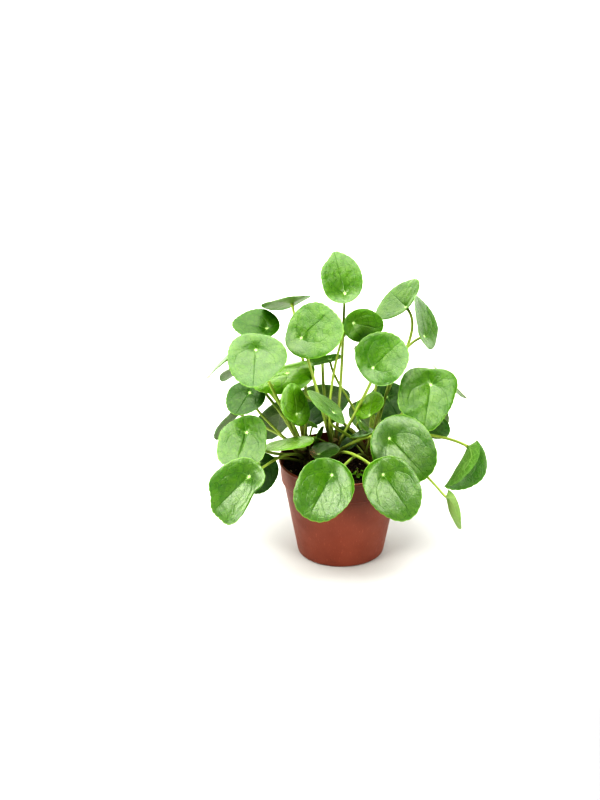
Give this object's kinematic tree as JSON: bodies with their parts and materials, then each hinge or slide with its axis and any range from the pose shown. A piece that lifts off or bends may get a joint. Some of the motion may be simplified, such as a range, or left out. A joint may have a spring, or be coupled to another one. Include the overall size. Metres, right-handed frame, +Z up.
{
  "type": "potted chinese money plant",
  "caption": "Bushy house plant with round leaves on long arching stalks, rooted in soil in a tapered terracotta-coloured plastic pot.",
  "frame": {"origin": "middle of the pot's flat underside, where it stands on the surface", "axes": "+Z up along the pot's axis; the camera of the picture looks along +Y, so -Y is the front; +X is the picture's right"},
  "size_m": [0.265, 0.2134, 0.2757],
  "materials": {
    "pot_plastic": "satin",
    "potting_soil": "matte",
    "stem": "matte",
    "leaf": "satin"
  },
  "bodies": {
    "root": {"pot": "pot_plastic", "soil": "potting_soil", "stem_left": "stem", "stem_mid": "stem", "stem_right": "stem", "seedling": "leaf", "leaf_left_01": "leaf", "leaf_left_02": "leaf", "leaf_left_03": "leaf", "leaf_left_04": "leaf", "leaf_left_05": "leaf", "leaf_left_06": "leaf", "leaf_left_07": "leaf", "leaf_left_08": "leaf", "leaf_left_09": "leaf", "leaf_left_10": "leaf", "leaf_left_11": "leaf", "leaf_left_12": "leaf", "leaf_left_13": "leaf", "leaf_left_14": "leaf", "leaf_left_15": "leaf", "leaf_mid_01": "leaf", "leaf_mid_02": "leaf", "leaf_mid_03": "leaf", "leaf_mid_04": "leaf", "leaf_mid_05": "leaf", "leaf_mid_06": "leaf", "leaf_mid_07": "leaf", "leaf_mid_08": "leaf", "leaf_mid_09": "leaf", "leaf_mid_10": "leaf", "leaf_mid_11": "leaf", "leaf_right_01": "leaf", "leaf_right_02": "leaf", "leaf_right_03": "leaf", "leaf_right_04": "leaf", "leaf_right_05": "leaf", "leaf_right_06": "leaf", "leaf_right_07": "leaf", "leaf_right_08": "leaf", "leaf_right_09": "leaf", "leaf_right_10": "leaf", "leaf_right_11": "leaf", "leaf_right_12": "leaf", "leaf_right_13": "leaf", "leaf_right_14": "leaf", "leaf_right_15": "leaf", "leaf_right_16": "leaf", "leaf_right_17": "leaf", "leaf_right_18": "leaf", "leaf_right_19": "leaf"}
  },
  "joints": []
}
